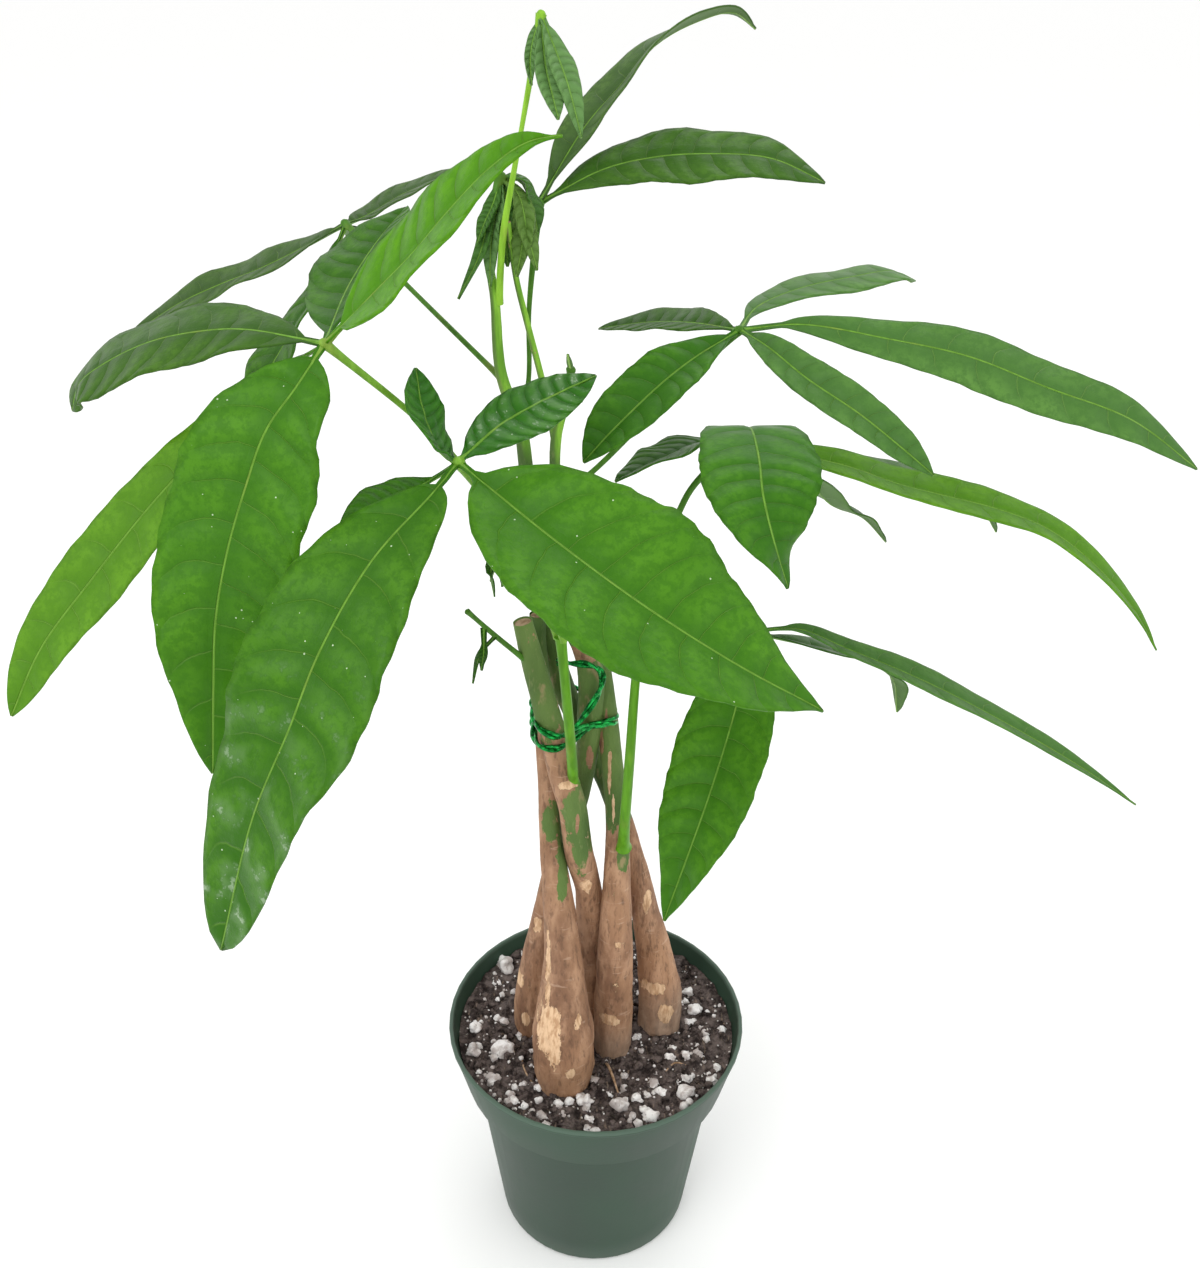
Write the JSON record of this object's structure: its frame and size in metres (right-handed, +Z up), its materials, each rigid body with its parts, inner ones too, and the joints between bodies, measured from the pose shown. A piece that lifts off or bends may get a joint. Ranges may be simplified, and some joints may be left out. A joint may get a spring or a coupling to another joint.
{
  "type": "potted money tree",
  "caption": "Young money tree with braided trunks and palmate leaves on long stalks, standing in a round tapered nursery pot filled with potting mix.",
  "frame": {"origin": "centre of the underside of the pot's base, on the floor", "axes": "+Z up, -Y towards the front of the plant, +X to its right seen from the front"},
  "size_m": [0.3146, 0.228, 0.411],
  "materials": {
    "pot_plastic": "satin",
    "potting_mix": "matte",
    "bark": "matte",
    "green_stem": "satin",
    "foil_tie": "gloss",
    "leaf_green": "satin",
    "young_leaf": "satin"
  },
  "bodies": {
    "root": {"pot": "pot_plastic", "soil": "potting_mix", "trunk_front_left": "bark", "trunk_centre_left": "bark", "trunk_centre_right": "bark", "trunk_left_rear": "bark", "trunk_right_rear": "bark", "shoot_left": "green_stem", "shoot_right": "green_stem", "tie": "foil_tie", "leaf_front": "leaf_green", "leaf_left": "leaf_green", "leaf_rear_left": "leaf_green", "leaf_top_right": "leaf_green", "leaf_upper_right": "leaf_green", "leaf_middle_right": "leaf_green", "leaf_lower_right": "leaf_green", "leaf_top_young": "young_leaf", "crown_young": "young_leaf", "bud_young": "young_leaf", "twig_front_left": "young_leaf", "twig_hanging": "young_leaf"}
  },
  "joints": []
}
